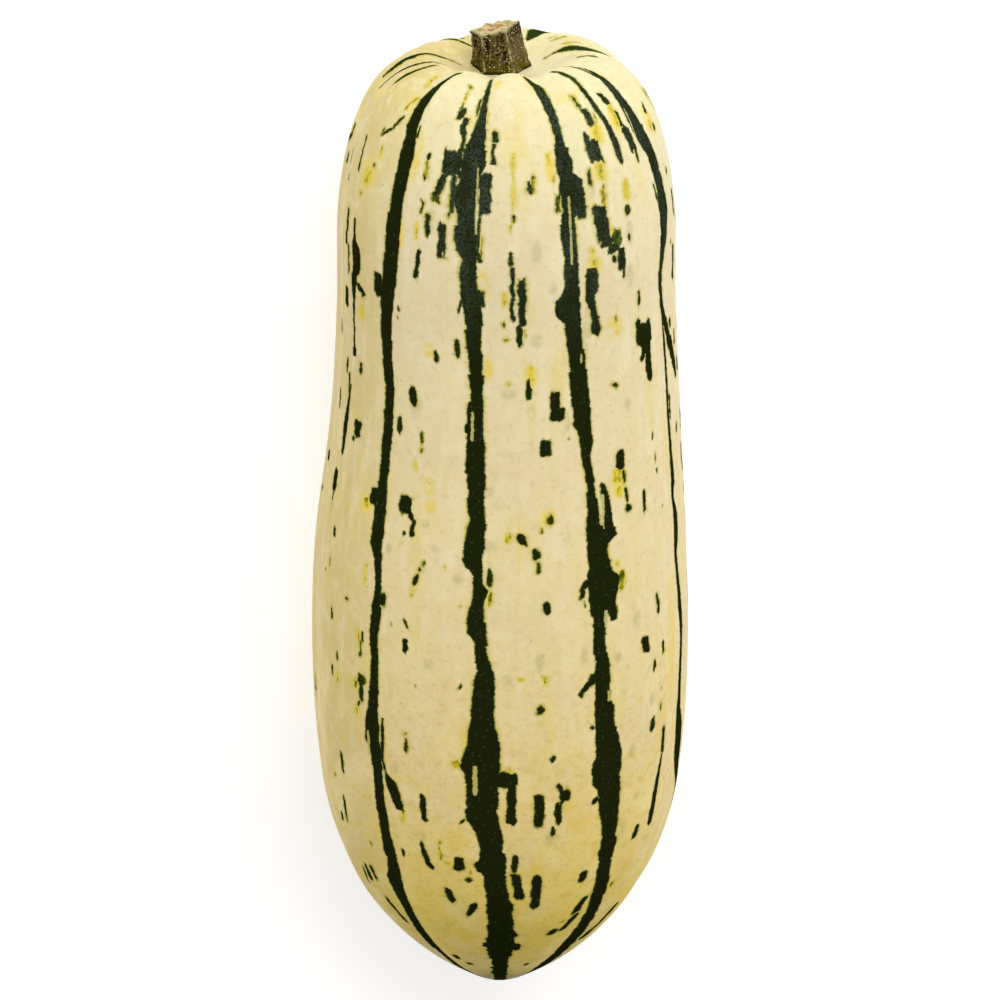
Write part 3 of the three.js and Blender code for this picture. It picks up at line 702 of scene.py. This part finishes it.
class Finish:
    """A material in the making: its node tree, and short ways to add to it."""

    def __init__(self, name):
        self.material = bpy.data.materials.new(name)
        self.material.use_nodes = True
        self.tree = self.material.node_tree
        self.shader = self.tree.nodes["Principled BSDF"]

    def paint(self, source, entry):
        """Puts a wire or a socket on one of the shader's inputs."""
        self.tree.links.new(getattr(source, "socket", source), self.shader.inputs[entry])

    def vector(self, name):
        """The three numbers of a vector kept on the mesh."""
        return self.split(new_node(self.tree, "Attribute", {}, attribute_name=name).outputs["Vector"])

    def split(self, socket):
        node = new_node(self.tree, "SeparateXYZ", {0: socket})
        return [Wire(self.tree, output) for output in node.outputs]

    def space(self, x=1.0, y=1.0, z=1.0):
        """The object's own coordinates in millimetres, stretched along each axis."""
        place = new_node(self.tree, "TexCoord", {}).outputs["Object"]
        inputs = {"Vector": place, "Scale": (x / MM, y / MM, z / MM)}
        return new_node(self.tree, "Mapping", inputs).outputs[0]

    def noise(self, where, size, detail=2.0, roughness=0.5):
        """Smooth noise around 0.5, with lumps about size across."""
        inputs = {"Vector": where, "Scale": 1 / size, "Detail": detail, "Roughness": roughness}
        return Wire(self.tree, new_node(self.tree, "TexNoise", inputs).outputs["Fac"])

    def dice(self, x, y, z):
        """A random number from 0 to 1 for every three whole numbers."""
        place = new_node(self.tree, "CombineXYZ", {0: x, 1: y, 2: z}).outputs[0]
        return Wire(self.tree, new_node(self.tree, "TexWhiteNoise", {"Vector": place}).outputs["Value"])

    def spots(self, where, size):
        """The distance from scattered points about size apart, in sizes, and each point's random number."""
        node = new_node(self.tree, "TexVoronoi", {"Vector": where, "Scale": 1 / size})
        return Wire(self.tree, node.outputs["Distance"]), self.split(node.outputs["Color"])[0]

    def mix(self, share, first, second):
        """A colour between two, by a share from 0 to 1."""
        first, second = ((*c, 1) if isinstance(c, tuple) else c for c in (first, second))
        factor, colour_a, colour_b, result = 0, 6, 7, 2  # the numbers of the node's sockets for colours
        inputs = {factor: share, colour_a: first, colour_b: second}
        return new_node(self.tree, "Mix", inputs, data_type="RGBA").outputs[result]

    def ramp(self, value, stops):
        """A colour from a list of (place, colour)."""
        node = new_node(self.tree, "ValToRGB", {"Fac": value})
        band = node.color_ramp
        while len(band.elements) < len(stops):
            band.elements.new(0.5)
        for element, (place, colour) in zip(band.elements, stops):
            element.position = place
            element.color = (*colour, 1)
        return node.outputs["Color"]

    def bump(self, height, distance):
        """Sets the surface's fine relief. Height is in steps of distance, in millimetres."""
        inputs = {"Strength": 1, "Distance": distance * MM, "Height": height}
        self.paint(new_node(self.tree, "Bump", inputs).outputs["Normal"], "Normal")


BAR = 0.8  # width of the short bars that a fleck's ends are stepped in
STEP = 1.7  # length of the steps along its sides
LONG_STEP = 3.1 * STEP  # the same, of the longer steps along a stripe
BAR_SHIFT = 0.37  # of the bars from mark to mark, so that no two marks are stepped alike
STEP_SHIFT = 0.61  # of the steps, the same
ROUND_SPAN = (55, 80)  # distances along over which a fleck's corners turn round
STRIPE_MORE = 0.08  # how much further a stripe reaches than its half width
CORNER = 0.5  # radius of its corners near the stem
ROUND_CORNER = 0.95  # radius of its corners further down
EDGE = 0.14  # over which a mark's edge goes from full to nothing, each way


def rounded(sideways, endwise, corner):
    """How far inside a round-cornered mark a point is, from how far it is inside its sides and its ends."""
    side, end = ((corner - reach).most(0.0) for reach in (sideways, endwise))
    return corner - (side * side + end * end).root()


def ragged_inside(finish, name, along):
    """How far inside its outline a fleck reaches here, and its tone. Near the stem the outline is stepped."""
    across, lengthwise, number = finish.vector(f"{name}_place")
    half_width, half_length, tone = finish.vector(f"{name}_size")
    across = across + (finish.noise(finish.space(), 2.2) - 0.5) * 1.1
    lengthwise = lengthwise + (finish.noise(finish.space(), 1.4) - 0.5) * 1.1
    side = across.above(0)
    end = lengthwise.above(0)
    bar = (across / BAR + number * BAR_SHIFT).floor()
    step = (lengthwise / STEP + number * STEP_SHIFT).floor()
    plain = along.rise(*ROUND_SPAN)
    stepped = 1 - plain * 0.6
    corner = plain * (ROUND_CORNER - CORNER) + CORNER
    end_play = (finish.dice(bar, end, number) - 0.5) * (half_length * 0.4).least(0.7) * stepped
    side_play = (finish.dice(step, side, number) - 0.5) * (half_width * 0.5).least(0.4) * stepped
    sideways = half_width + side_play - across.size()
    return rounded(sideways, half_length + end_play - lengthwise.size(), corner), tone


def soft_inside(finish, name):
    """The same for a mark with no steps."""
    across, lengthwise, _ = finish.vector(f"{name}_place")
    half_width, half_length, tone = finish.vector(f"{name}_size")
    return rounded(half_width - across.size(), half_length - lengthwise.size(), half_width), tone


def patch_inside(finish, name, spread):
    """1 in the middle of a soft patch and 0 from its edge on, which lies spread outside its half sizes."""
    across, lengthwise, _ = finish.vector(f"{name}_place")
    half_width, half_length, _ = finish.vector(f"{name}_size")
    out, down = across / (half_width + spread), lengthwise / (half_length + spread)
    return (1 - (out * out + down * down).root()).rise(0.0, 0.7)


def stripe_inside(finish, along):
    """How far inside the nearest stripe's ragged edge this is."""
    across, half, rough = finish.vector("stripe")
    side = across.above(0)
    short = finish.dice((along / STEP).floor(), side, 3.0) - 0.5
    long = finish.dice((along / LONG_STEP).floor(), side, 5.0) - 0.5
    play = (short * 0.45 + long * 0.8) * rough * (half * 1.2).least(1.0)
    return half + STRIPE_MORE + play - across.size()


# The ground colour yellows and darkens towards the blossom tip: partly the rind's own riper tone and partly
# painted shade.
RIND_TONE_AND_SHADE = [  # of the rind's ground colour, from the stem's dimple to the blossom tip
    (0.0, (0.70, 0.62, 0.35)),
    (0.05, (0.71, 0.64, 0.36)),
    (0.11, (0.71, 0.65, 0.37)),
    (0.24, (0.73, 0.63, 0.38)),
    (0.55, (0.73, 0.60, 0.30)),
    (0.70, (0.74, 0.57, 0.225)),
    (0.82, (0.78, 0.58, 0.115)),
    (0.92, (0.70, 0.51, 0.06)),
    # near black at the tip: painted shade where it turns away from the light, over its darker tone
    (0.96, (0.24, 0.18, 0.025)),
    (1.0, (0.13, 0.10, 0.015)),
]
FLECK_TONES = [
    (0.0, (0.0115, 0.0145, 0.003)),
    (0.3, (0.022, 0.036, 0.003)),
    (0.55, (0.10, 0.12, 0.004)),
    (0.75, (0.34, 0.29, 0.012)),
    (1.0, (0.68, 0.54, 0.05)),
]
PAINTED_SHADE_SIDE = (-30, -62)  # angles over which the rind is painted a darker tan: painted shade on the left side, which faces away from the light


def layered(finish, base, *layers):
    """A base colour under layers, each a share from 0 to 1 and a colour."""
    for share, colour in layers:
        base = finish.mix(share, base, colour)
    return base


def rind_ground(finish, angle, along):
    """The pale rind with its faint patches, smudges and pinpricks, and painted shade down its left side."""
    place = finish.space()
    long_grain = finish.space(1, 0.2, 1)
    # painted shade: the left side darkened to tan, as if turned away from the light
    painted_side_shade = (angle * -1.0).rise(-PAINTED_SHADE_SIDE[0], -PAINTED_SHADE_SIDE[1])
    fair = 1 - along.rise(140, 205) * 0.8
    streaks = finish.noise(long_grain, 2.6, 4).rise(0.45, 0.8) * fair
    clouds = finish.noise(place, 5, 5, 0.7).rise(0.5, 0.7) * fair
    ripe = along.rise(115, 190)
    mottle = finish.noise(place, 0.9, 2).rise(0.55, 0.72) * ripe
    smudge = patch_inside(finish, "smudge0", spread=0.8) * finish.noise(place, 2.2).rise(0.25, 0.6)
    yellow = patch_inside(finish, "yellow0", spread=1.2) * finish.noise(place, 2.5).rise(0.25, 0.55)
    warm = finish.mix(ripe, (0.72, 0.56, 0.11), (0.73, 0.49, 0.06))
    distance, pick = finish.spots(place, 3.4)
    pinprick = (1 - distance.rise(0.03, 0.08)) * pick.above(0.6)
    return layered(
        finish,
        # the ground colour down the fruit, partly painted shade towards the tip
        finish.ramp(along / OUTER.length, RIND_TONE_AND_SHADE),
        # painted shade down the left side
        (painted_side_shade * 0.75, (0.56, 0.43, 0.12)),
        (finish.noise(place, 15).rise(0.45, 0.7) * 0.4, (0.70, 0.56, 0.32)),
        (finish.noise(long_grain, 7, 4).rise(0.52, 0.72) * 0.55, (0.70, 0.56, 0.16)),
        (streaks * 0.35, (0.82, 0.74, 0.52)),
        (finish.noise(place, 1.5, 3).rise(0.5, 0.75) * 0.3, (0.50, 0.42, 0.22)),
        (clouds * 0.25, (0.86, 0.79, 0.55)),
        (finish.noise(place, 9, 3).rise(0.46, 0.64) * ripe * 0.4, (0.82, 0.69, 0.34)),
        (finish.noise(place, 3, 4).rise(0.5, 0.7) * ripe * 0.45, (0.64, 0.46, 0.08)),
        (mottle * 0.25, (0.42, 0.34, 0.10)),
        (smudge * 0.4, (0.36, 0.34, 0.15)),
        (yellow * (0.9 - ripe * 0.45), warm),
        (pinprick * 0.55, (0.26, 0.15, 0.05)),
    )


def rind_dark(finish, angle, along, inside, tone):
    """The green of the markings, yellower towards their edges, with a faint painted sheen below the shoulder
    that stands in for a reflection.
    """
    patch = finish.noise(finish.space(1, 0.4, 1), 4)
    fringe = (1 - inside.rise(0, 0.4)) * (0.22 + patch.rise(0.42, 0.6) * 0.4)
    near_stem = (1 - along.rise(13, 30)) * 0.28
    dark = finish.ramp(tone + fringe + near_stem, FLECK_TONES)
    distance, pick = finish.spots(finish.space(), 0.8)
    dust = (1 - distance.rise(0.1, 0.35)) * pick.above(0.6)
    dark = finish.mix(dust * 0.22, dark, (0.12, 0.13, 0.09))
    # painted reflection: a bluish-grey sheen on the dark marks below the shoulder, standing in for the lamps'
    # gloss
    painted_sheen = along.rise(8, 26) * (1 - along.rise(55, 85)) * angle.rise(-34, -18)
    painted_sheen = painted_sheen * (patch.rise(0.25, 0.7) + 0.25) * finish.noise(finish.space(), 0.5, 3).rise(0.3, 0.7)
    return finish.mix(painted_sheen * 0.3, dark, (0.11, 0.14, 0.11))


def rind_material():
    finish = Finish("rind")
    angle, along, _ = finish.vector("place")
    place = finish.space()
    wobble = (finish.noise(place, 0.9) - 0.5) * 0.5 + (finish.noise(place, 0.4) - 0.5) * 0.25
    bite = (finish.noise(place, 1.5) - 0.5) * 0.6
    stripe = stripe_inside(finish, along) + wobble + bite
    first, first_tone = ragged_inside(finish, "fleck0", along)
    second, second_tone = ragged_inside(finish, "fleck1", along)
    flecks = first.most(second) + wobble + bite
    fleck_tone = first_tone + (second_tone - first_tone) * second.above(first)
    speckle = (finish.noise(finish.space(1, 0.6, 1), 1, 3) - 0.5) * 1.3
    fleck_tone = fleck_tone + speckle * fleck_tone.rise(0, 0.3)
    fleck_tone = fleck_tone * (flecks - stripe).rise(-0.1, 0.1)
    pale = fleck_tone.rise(0.4, 0.8)
    inside = stripe.most(flecks)
    sliver, grey = soft_inside(finish, "sliver0")
    sliver = (sliver + wobble * 1.4).rise(-EDGE, EDGE)
    mask = (inside / (pale * 3 + 1)).rise(-EDGE, EDGE) * (1 - sliver)
    dark = rind_dark(finish, angle, along, inside, fleck_tone)
    ground = rind_ground(finish, angle, along)
    ground = finish.mix(sliver * grey, ground, (0.34, 0.36, 0.17))
    halo = inside.rise(-1.1, 0.1) * finish.noise(finish.space(1, 0.35, 1), 5).rise(0.45, 0.65)
    ground = finish.mix(halo * 0.6, ground, (0.56, 0.45, 0.06))
    ground = finish.mix(inside.rise(-0.45, 0.0) * (1 - pale) * 0.6, ground, (0.30, 0.29, 0.04))
    finish.paint(finish.mix(mask, ground, dark), "Base Color")
    finish.paint(finish.noise(place, 5) * 0.14 + 0.42, "Roughness")
    sheen = 0.13 - along.rise(165, 215) * 0.11
    finish.paint((1 - mask) * sheen, "Specular IOR Level")
    relief = finish.noise(place, 2.4) + finish.noise(place, 0.6) * 0.3
    finish.bump(relief, 0.06)
    return finish.material


# ---- the stem ----


def ripple(points, size, seed):
    """Smooth lumps about size across over the points, around 0."""
    dice = np.random.default_rng(seed)
    waves = dice.normal(size=(WAVES, 3))
    waves /= np.linalg.norm(waves, axis=1)[:, None]
    waves *= 2 * np.pi / size * dice.uniform(0.6, 1.4, (WAVES, 1))
    phases = dice.uniform(0, 2 * np.pi, WAVES)
    return np.cos(points @ waves.T + phases).sum(-1) / math.sqrt(WAVES)


def ridge_share(angle):
    """1 on the stem's ridges and 0 midway between them, and the angle between the two nearest."""
    ridges = np.array(RIDGE_ANGLES + [RIDGE_ANGLES[0] + 360], float)
    place = (angle - ridges[0]) % 360 + ridges[0]
    after = np.clip(np.searchsorted(ridges, place, side="right"), 1, len(ridges) - 1)
    gap = ridges[after] - ridges[after - 1]
    return 1 - np.sin(np.pi * (place - ridges[after - 1]) / gap) ** FLUTE_SHARPNESS, gap


def stem_side(angle, up):
    """A point of the stem's side. Y is up the stem, and up goes from 0 at its foot to 1 at the cut."""
    share, gap = ridge_share(angle)
    foot_to_waist = STEM_FOOT_RADIUS + (STEM_WAIST_RADIUS - STEM_FOOT_RADIUS) * smooth(up, 0, 0.5)
    radius = foot_to_waist + (STEM_TOP_RADIUS - STEM_WAIST_RADIUS) * smooth(up, 0.5, 1) + RIDGE_HEIGHT
    flat = radius * (1 - np.cos(np.radians(gap / 2))) + FLUTE_DEPTH
    reach = radius - flat * (1 - share) + FOOT_FLARE * (1 - smooth(up, 0, 0.16))
    turn = np.radians(angle)
    x, z = reach * np.sin(turn), reach * np.cos(turn)
    top = STEM_HEIGHT + STEM_TOP_SLOPE[0] * x + STEM_TOP_SLOPE[1] * z
    y = np.where(up < 0, up * STEM_SINK, top * np.maximum(up, 0))
    return np.stack([x + STEM_TOP_SHIFT * np.maximum(up, 0), y, z], -1)


def stem_rings():
    """The stem's rings from its foot to the middle of the cut, and what the material reads on each."""
    angle = np.linspace(0, 360, STEM_COLUMNS, endpoint=False)
    share, _ = ridge_share(angle)
    ups = np.concatenate([[-1, -0.5], np.linspace(0, 1, STEM_ROWS)])
    rings, reads = [], []
    for up in ups:
        ring = stem_side(angle, np.full_like(angle, up))
        outward = ring * (1, 0, 1) / np.linalg.norm(ring * (1, 0, 1), axis=1)[:, None]
        coarse, fine = ripple(ring * (1, 0.45, 1), 1.3, seed=1), ripple(ring, 0.6, seed=2)
        rough = BARK_PLAY[0] * coarse + BARK_PLAY[1] * fine
        rim = RIM_ROUNDING * smooth(up, 0.965, 1)
        round_it, up_it = KNOB_SPREAD
        knob = sum(
            out * np.exp(-(((angle - at) / round_it) ** 2) - ((up - rise) / up_it) ** 2)
            for at, rise, out in KNOBS
        )
        lumps = RIM_PLAY * ripple(ring * (1, 0, 1), 2.4, seed=5)
        broken = smooth(up, 0.8, 1) * (lumps + KNOB_RISE * knob)
        rings.append(ring + outward * (rough - rim + knob)[:, None] + np.outer(broken, (0, 1, 0)))
        reads.append(np.stack([np.full_like(angle, max(up, 0)), share, np.zeros_like(angle)], 1))
    rim_ring = rings[-1]
    middle = rim_ring.mean(axis=0)
    for i in range(1, CUT_RINGS):
        q = 1 - i / CUT_RINGS
        ring = middle + (rim_ring - middle) * q
        inner = 1 - smooth(q, 0.82, 1)
        coarse, fine = ripple(ring * (1, 0.3, 1), 1.6, seed=3), ripple(ring, 0.7, seed=4)
        lift = CUT_PLAY[0] * coarse + CUT_PLAY[1] * fine
        ring = ring + np.outer(inner * (lift - CUT_HOLLOW * (1 - q**2)), (0, 1, 0))
        rings.append(ring)
        reads.append(np.stack([np.ones_like(angle), share, np.full_like(angle, 1 - q)], 1))
    return rings, reads


def stem_piece(shift):
    rings, reads = stem_rings()
    foot, middle = rings[0].mean(axis=0), rings[-1].mean(axis=0)
    points = np.vstack([foot[None], *rings, middle[None]])
    reads = np.vstack([[(0, 0, 0)], *reads, [(1, 0, 1)]])
    # The stem's rings run the other way round, so its faces are turned over.
    faces = [(first, *reversed(others)) for first, *others in ring_faces(len(rings), STEM_COLUMNS)]
    base = np.array([CORE_SHIFT + STEM_OFFSET, BELLY_DEPTH - OUTLINE[0][0] + STEM_GAP, 0])
    piece = new_mesh("squash_stem", lean_back(points + base) + shift, faces)
    attribute = piece.data.attributes.new("stem", "FLOAT_VECTOR", "POINT")
    attribute.data.foreach_set("vector", reads.astype(np.float32).ravel())
    return piece


def stem_bark(finish, up, ridge):
    """The dry olive-brown skin: dark and mottled, mossy at its foot, pale on its ridges and at the cut, and a
    painted contact shadow at its very foot.
    """
    place = finish.space()
    fibre = finish.space(1, 0.25, 1)
    mottle = finish.noise(place, 0.7, 3) * 0.65 + finish.noise(place, 2.6, 2) * 0.35
    across, _, _ = finish.split(place)
    dry = finish.noise(fibre, 1.6).rise(0.5, 0.66) * 0.4 + across.rise(1.2, 3.2) * 0.45
    low = (1 - up.rise(0.06, 0.4)) * finish.noise(place, 2.4).rise(0.32, 0.5)
    crest = ridge.rise(0.7, 0.95) * finish.noise(fibre, 0.6, 3).rise(0.42, 0.56)
    lip = up.rise(0.88, 0.98) * finish.noise(place, 1).rise(0.3, 0.55)
    scar = across.rise(*SCAR) * up.rise(0.7, 0.8) * finish.noise(place, 1.5).rise(0.25, 0.45)
    return layered(
        finish,
        finish.mix(mottle.rise(0.44, 0.57), (0.014, 0.009, 0.0003), (0.095, 0.073, 0.016)),
        (dry, (0.19, 0.14, 0.055)),
        (low * 0.8, (0.066, 0.062, 0.0005)),
        (crest * 0.65, (0.38, 0.34, 0.14)),
        (lip * 0.8, (0.36, 0.33, 0.14)),
        (scar * 0.92, (0.026, 0.012, 0.006)),
        # painted shadow: a dark line round the very foot of the stem, where it meets the dimple
        ((1 - up.rise(0.0, 0.05)) * 0.8, (0.010, 0.008, 0.001)),
    )


def stem_specks(finish, bark, ridge):
    """Whitish dots on the bark, thicker along the ridges and on the side to the left."""
    place = finish.space()
    across, _, _ = finish.split(place)
    thick = (1 - across.rise(-4.5, -2.5)) * 0.2 + ridge.rise(0.6, 0.9) * 0.2
    thick = thick + finish.noise(place, 3).rise(0.4, 0.6) * 0.2
    near, near_pick = finish.spots(place, 0.5)
    fine = (1 - near.rise(0.2, 0.36)) * (near_pick + thick).above(0.68)
    bark = finish.mix(fine * 0.7, bark, (0.50, 0.45, 0.23))
    far, far_pick = finish.spots(place, 0.9)
    speck = (1 - far.rise(0.11, 0.21)) * (far_pick + thick).above(0.65)
    return finish.mix(speck * 0.9, bark, (0.78, 0.73, 0.48)), speck


def stem_wood(finish, inward):
    """The cut: fibrous and tan, with a paler greenish ring inside its rim."""
    place = finish.space()
    wood = finish.mix(finish.noise(place, 1.1, 4).rise(0.38, 0.62), (0.36, 0.21, 0.09), (0.66, 0.52, 0.28))
    wood = finish.mix(finish.noise(place, 0.7).rise(0.56, 0.7) * 0.75, wood, (0.17, 0.11, 0.04))
    rim = (1 - inward.rise(0.1, 0.3)) * finish.noise(place, 1.2).rise(0.3, 0.5)
    return finish.mix(rim * 0.85, wood, (0.50, 0.48, 0.24))


def stem_material():
    finish = Finish("stem")
    up, ridge, inward = finish.vector("stem")
    place = finish.space()
    bark, speck = stem_specks(finish, stem_bark(finish, up, ridge), ridge)
    wood = stem_wood(finish, inward)
    on_cut = (inward + up.rise(0.93, 1.0) * 0.05).rise(0.02, 0.06)
    finish.paint(finish.mix(on_cut, bark, wood), "Base Color")
    finish.paint(finish.noise(place, 1.2) * 0.2 + 0.65, "Roughness")
    finish.shader.inputs["Specular IOR Level"].default_value = 0.02
    finish.bump(finish.noise(place, 0.5, 4) + finish.noise(place, 1.4) + speck * 0.8, 0.3)
    return finish.material


# ---- the stage ----


def area_light(name, place, target, size, power):
    """A square soft light, in metres and watts, that faces the target."""
    light = bpy.data.lights.new(name, "AREA")
    light.size = size
    light.energy = power
    lamp = new_object(name, light)
    lamp.location = place
    lamp.rotation_euler = (target - lamp.location).to_track_quat("-Z", "Y").to_euler()


def lights(middle):
    world = bpy.data.worlds.new("studio")
    world.use_nodes = True
    world.node_tree.nodes["Background"].inputs["Color"].default_value = (1, 1, 1, 1)
    world.node_tree.nodes["Background"].inputs["Strength"].default_value = 0.3
    bpy.context.scene.world = world
    area_light("key", (0.25, 1.1, 1.1), middle, size=1.1, power=18.6)
    area_light("left_fill", (-1.3, 0.2, 0.7), middle, size=1.2, power=6.7)
    area_light("right_fill", (1.3, 0.2, 0.7), middle, size=1.2, power=5.8)


def floor():
    mesh = bpy.data.meshes.new("floor")
    corners = [(x * FLOOR_HALF, y * FLOOR_HALF, 0) for x, y in ((-1, -1), (1, -1), (1, 1), (-1, 1))]
    mesh.from_pydata(corners, [], [(0, 1, 2, 3)])
    piece = new_object("floor", mesh)
    finish = Finish("floor")
    finish.shader.inputs["Base Color"].default_value = (0.8, 0.8, 0.8, 1)
    finish.shader.inputs["Roughness"].default_value = 0.9
    finish.shader.inputs["Emission Color"].default_value = (1, 1, 1, 1)
    finish.shader.inputs["Emission Strength"].default_value = 0.45
    piece.data.materials.append(finish.material)
    piece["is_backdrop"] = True


def camera():
    """The photograph's view: from above the stem end, with the stem at the top of the picture."""
    cos, sin = math.cos(CAMERA_ELEVATION), math.sin(CAMERA_ELEVATION)
    data = bpy.data.cameras.new("camera")
    data.lens = data.sensor_width * CAMERA_DISTANCE / VIEW_WIDTH
    data.clip_start = 0.01
    data.clip_end = 20
    eye = new_object("camera", data)
    back = Vector((0, cos, sin))
    eye.matrix_world = Matrix((
        (1, 0, 0, 0),
        (0, sin, cos, 0),
        (0, -cos, sin, 0),
        (0, 0, 0, 1),
    ))
    eye.location = (Vector(TARGET) + back * CAMERA_DISTANCE) * MM
    bpy.context.scene.camera = eye
    bpy.context.scene.view_settings.view_transform = "Standard"


# ---- the squash ----

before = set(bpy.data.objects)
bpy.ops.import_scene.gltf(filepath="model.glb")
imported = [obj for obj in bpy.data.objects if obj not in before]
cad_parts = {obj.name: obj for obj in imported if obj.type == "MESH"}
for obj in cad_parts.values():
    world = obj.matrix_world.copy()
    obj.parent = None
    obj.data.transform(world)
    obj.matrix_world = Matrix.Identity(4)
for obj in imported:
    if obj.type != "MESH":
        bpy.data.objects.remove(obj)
cad_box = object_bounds()

camera()
low, high = (np.array(corner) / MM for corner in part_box("fruit"))
grid = Grid()
skin = grid.points()
shift = (low + high) / 2 - (skin.min(axis=0) + skin.max(axis=0)) / 2

fruit = fruit_piece(grid, skin + shift)
fruit.data.materials.append(rind_material())
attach(fruit, "root")
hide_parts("fruit")

stem = stem_piece(shift)
stem.data.materials.append(stem_material())
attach(stem, "root")
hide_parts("stem")

floor()
lights(Vector((0, 0, (cad_box[0].z + cad_box[1].z) / 2)))
